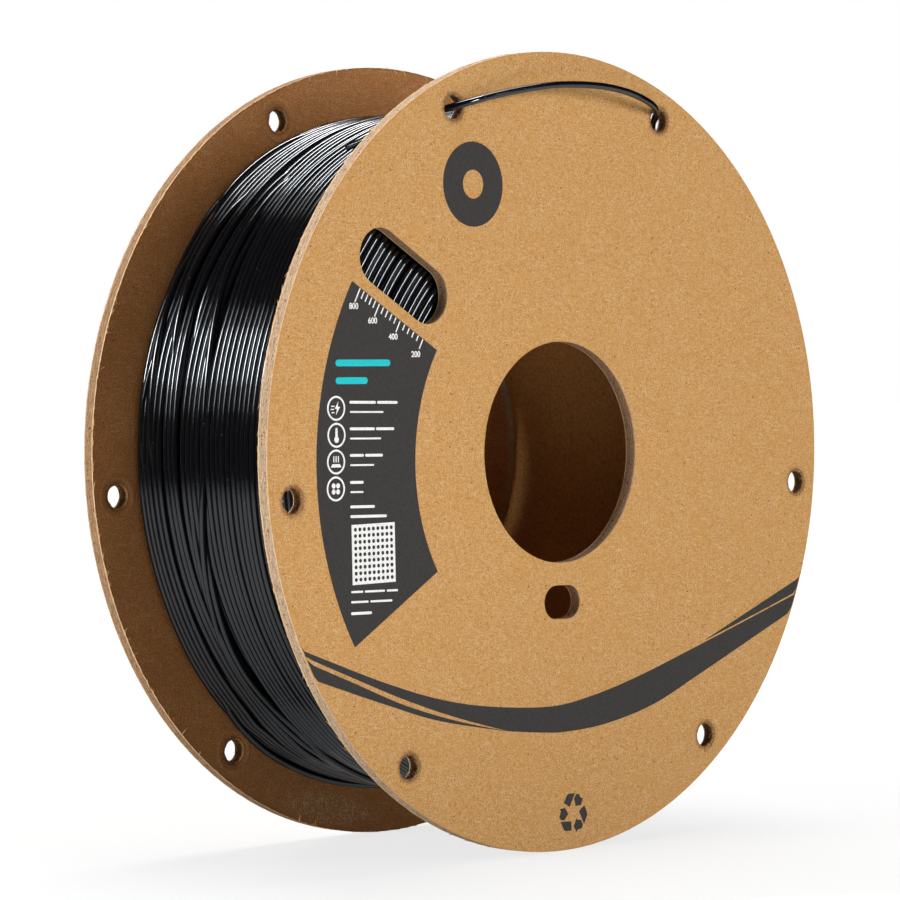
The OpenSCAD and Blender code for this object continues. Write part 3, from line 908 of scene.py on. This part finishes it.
# Top layer: thirty turns side by side from the rear to the front, with a valley after the eighth
# and after the twelfth. The guide wandered, so groups of turns lean to one side or the other.
TOP_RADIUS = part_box("filament_top_layer")[1].z - STRAND / 2
WIND_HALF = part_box("filament_pack")[1].y - STRAND / 2
TURNS = 30
LIFT_ANGLE = 45.0
VALLEY = 2.0 * MM
VALLEY_TURNS = (7.7, 11.7)
VALLEY_SKIP = 0.25
TURN_PITCH = (2 * WIND_HALF - VALLEY * len(VALLEY_TURNS)) / TURNS
STEPS = 240
LEAD, LEAD_DEPTH = 0.12, 1.6
# How each group leans: its last turn, then degrees round the spool and millimetres to the rear
GROUPS = [
    (5, [(45, 0), (60, 0), (108, 0.3), (128, 0.7), (150, -0.3), (163, 0), (182, -0.4), (203, -0.6), (216, 0),
         (230, 1.2), (241, 2.0), (262, 1.5), (300, 0), (345, -0.4), (405, 0)]),
    (8, [(45, 0), (60, 0), (125, 0.5), (150, 0.8), (163, 0), (180, -1.0), (200, -1.6), (215, -1.8), (230, -0.8),
         (240, 1.0), (262, 1.5), (300, 0), (350, 0.5), (405, 0)]),
    (12, [(45, 0), (60, 0), (110, 0.7), (130, 0), (200, -0.1), (215, -0.6), (230, 0), (240, 1.0), (300, 0),
          (340, -0.5), (405, 0)]),
    (30, [(45, 0), (60, 0), (110, 0.7), (130, 2.0), (145, 1.1), (158, 0), (185, 0), (200, 0.85), (210, 1.35),
          (220, 1.7), (230, 2.2), (240, 3.4), (255, 3.4), (300, 0), (345, 0.9), (405, 0)]),
]
FRONT_SHARE = [(-28, 0.35), (-14, 1.0), (29, 1.0)]
GATHER_TURNS, GATHER_ANGLE, GATHER_SPAN, GATHER_Y = (8, 12), 215.0, 13.0, 11.2
RIDGE, RIDGE_ANGLE, RIDGE_SPAN = [(1, 0), (2.6, 0.5), (4.2, 0.5), (6.6, 0)], 231.0, 2.2


def turn_y(turn):
    """Millimetres along the axis after so many turns, with the lean of the turn's group."""
    degrees = LIFT_ANGLE + 360 * (turn % 1.0)
    skipped = sum(between([(0, 0), (VALLEY_SKIP, 1)], turn - start) if turn > start else 0 for start in VALLEY_TURNS)
    y = (WIND_HALF - TURN_PITCH * turn - VALLEY * skipped) / MM
    lean = next(knots for last, knots in GROUPS if turn < last or last == TURNS)
    y += flowing(lean, degrees) * between(FRONT_SHARE, y) * min(1.0, (TURNS - turn) * 2)
    if GATHER_TURNS[0] <= turn < GATHER_TURNS[1]:
        y += 0.5 * (GATHER_Y - y) * math.exp(-(((degrees - GATHER_ANGLE) / GATHER_SPAN) ** 2))
    return min(WIND_HALF / MM, y)


def turn_place(turn):
    """Middle of the strand after so many turns. Where turns crowd, every other one rides up."""
    degrees = LIFT_ANGLE + 360 * turn
    y = turn_y(turn) if turn > 0 else WIND_HALF / MM
    fade = min(1.0, max(0.0, (TURNS - turn) * 2), max(0.0, turn * 2))
    ride = 0.0
    if turn >= 1 and int(turn) % 2 and turn < TURNS - 1:
        gap = min(turn_y(turn - 1) - y, y - turn_y(turn + 1))
        ride = math.sqrt(max(0.0, (STRAND / MM) ** 2 - max(0.0, gap) ** 2))
    ride += between(RIDGE, turn) * math.exp(-(((degrees % 360 - RIDGE_ANGLE) / RIDGE_SPAN) ** 2))
    jitter = fade * (0.06 * math.sin(7.1 * turn + 2) + 0.05 * math.sin(17.3 * turn) + 0.04 * math.sin(31.7 * turn + 1))
    lift = fade * (0.10 * math.sin(5.3 * turn + 1) + 0.08 * math.sin(13.9 * turn) + 0.05 * math.sin(29.1 * turn))
    climb = between([(-LEAD, -LEAD_DEPTH), (0.0, 0.0)], turn) if turn < 0 else 0.0
    return at(TOP_RADIUS + (climb + lift + ride) * MM, math.radians(degrees), (y + jitter) * MM)


lead = [turn_place(LEAD * (i / 20 - 1)) for i in range(20)]
wound = [turn_place(i / STEPS) for i in range(TURNS * STEPS + 1)]
off_direction = Vector((-math.sin(math.radians(LIFT_ANGLE)), 0, math.cos(math.radians(LIFT_ANGLE))))
tail_exit = Vector(wound[-1]) + off_direction * STRAND
top_path = lead + wound + [tuple(tail_exit)]

# Stretches that lie across the others, as degrees, millimetres along the axis and height over them
RIDERS = [
    [(125, 9.8, -1.2), (132, 9.3, 0.6), (145, 8.3, 1.2), (154, 7.0, 1.0), (165, 5.3, 0.3), (175, 4.5, 0.0),
     (182, 4.3, 0.2), (189, 5.2, 0.9), (197, 7.0, 1.5), (205, 9.2, 1.5), (212, 10.7, 1.6), (222, 11.0, 1.6),
     (232, 11.5, 1.5), (240, 12.7, 1.2), (255, 15.0, -1.4)],
    [(183, 3.9, -1.2), (195, 4.9, 0.0), (210, 5.3, 0.0), (222, 5.6, 0.0), (232, 6.2, 0.0), (243, 7.4, 0.0),
     (258, 9.0, -1.5)],
    [(140, 26.6, -1.2), (149, 26.0, 0.6), (157, 24.9, 1.3), (165, 24.0, 1.3), (173, 23.4, 0.8), (185, 23.2, -1.0)],
    [(155, 25.6, -0.5), (161, 25.0, 0.5), (169, 26.3, 0.8), (175, 26.8, 0.5), (185, 27.0, -1.0)],
    [(122, 11.9, -0.6), (130, 11.9, 0.5), (139, 12.4, 0.5), (147, 13.3, 0.1), (154, 13.9, -0.2), (162, 14.0, -1.5)],
]
rider_paths = [
    [at(TOP_RADIUS + height * MM, math.radians(degrees), y * MM) for degrees, y, height in smooth_line(knots, 10)]
    for knots in RIDERS
]
top_layer = strand_mesh("filament_wound_top", [top_path] + rider_paths)
on_spool("filament_wound_top", top_layer, "filament", "filament_top_layer")

# Layers below: the second layer shows in the valleys, and the end turns of every layer show
# through the windows, where they lie against the flanges. A dark core fills what nobody sees.
LAYER_RISE = 1.55 * MM
UNDER_PITCH, UNDER_STEPS = 1.01 * STRAND, 120
TUBE_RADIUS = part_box("core_outer_ply")[1].z
END_TURN_RISE, END_TURN_STEPS = 1.98 * MM, 160
random.seed(11)


def second_layer_place(turn):
    """Middle of the second layer's strand, which winds the other way."""
    y = WIND_HALF - 0.5 * STRAND - turn * UNDER_PITCH
    return at(TOP_RADIUS - LAYER_RISE, math.radians(LIFT_ANGLE - 360 * turn), y)


under_turns = int((2 * WIND_HALF - STRAND) / UNDER_PITCH)
under_path = [second_layer_place(i / UNDER_STEPS) for i in range(under_turns * UNDER_STEPS)]
inner_layers = strand_mesh("filament_inner_layers", [under_path], 8)


def end_turn(radius, side):
    """The last turn of one layer, close to a flange and a little out of true."""
    depth = random.uniform(0.0, 0.75) * MM
    sway, swell = random.uniform(0, 2 * math.pi), random.uniform(0, 2 * math.pi)
    ring = []
    for i in range(END_TURN_STEPS):
        a = 2 * math.pi * i / END_TURN_STEPS
        out_of_true = 0.22 * MM * math.sin(a + swell) + 0.1 * MM * math.sin(3 * a + sway)
        ring.append(at(radius + out_of_true, a, side * (WIND_HALF - depth + 0.2 * MM * math.sin(a + sway))))
    return ring


end_turns = []
for side in (-1, 1):
    radius = TUBE_RADIUS + STRAND * 0.6
    while radius < TOP_RADIUS - 1.2 * LAYER_RISE:
        end_turns.append(end_turn(radius, side))
        radius += END_TURN_RISE + random.uniform(-0.35, 0.35) * MM
end_mesh = strand_mesh("end_turns", end_turns, 10, closed=True)

CORE_STEPS = 144
core_outer, core_half = TOP_RADIUS - LAYER_RISE - 0.3 * STRAND, WIND_HALF - 0.9 * MM
core_profile = ((TUBE_RADIUS, -1), (core_outer, -1), (core_outer, 1), (TUBE_RADIUS, 1))
core_corners = [
    at(r, 2 * math.pi * i / CORE_STEPS, side * core_half) for i in range(CORE_STEPS) for r, side in core_profile
]
core_mesh = mesh_of("core_ring", core_corners, tube_faces(CORE_STEPS, 4), strand_black)
merged = bmesh.new()
for mesh in (inner_layers, end_mesh, core_mesh):
    merged.from_mesh(mesh)
merged.to_mesh(inner_layers)
merged.free()
on_spool("filament_inner_layers", inner_layers, "filament", "filament_pack")

dressed("filament_start", strand_black)

# Loose end: off the last turn, out through one rim hole, over the face and in at the next
TAIL = [
    (55.5, -28.3, 66.7), (49.5, -27.7, 72.7), (43.9, -27.4, 78.3), (41.0, -28.0, 81.3), (38.7, -29.8, 83.7),
    (37.4, -31.8, 85.2), (35.5, -34.0, 86.6), (31.8, -36.2, 88.0), (26.4, -37.6, 89.4), (20.0, -38.3, 90.7),
    (13.5, -38.5, 91.5), (7.0, -38.4, 91.8), (0.0, -38.0, 91.7), (-7.0, -37.4, 91.2), (-14.0, -36.8, 90.2),
    (-21.0, -36.1, 88.9), (-27.5, -35.4, 87.5), (-32.2, -35.0, 86.3), (-35.4, -33.9, 85.4), (-37.8, -32.0, 84.6),
    (-39.8, -29.4, 83.5), (-41.8, -26.2, 82.3), (-44.6, -21.4, 80.4), (-47.4, -15.4, 78.1), (-50.0, -8.3, 75.4),
]
tail_path = smooth_line([tail_exit] + [Vector(point) * MM for point in TAIL], 6)
tail_mesh = strand_mesh("filament_loose_end", [tail_path], 16)
tail = on_spool("filament_loose_end", tail_mesh, "filament", "filament_tail")
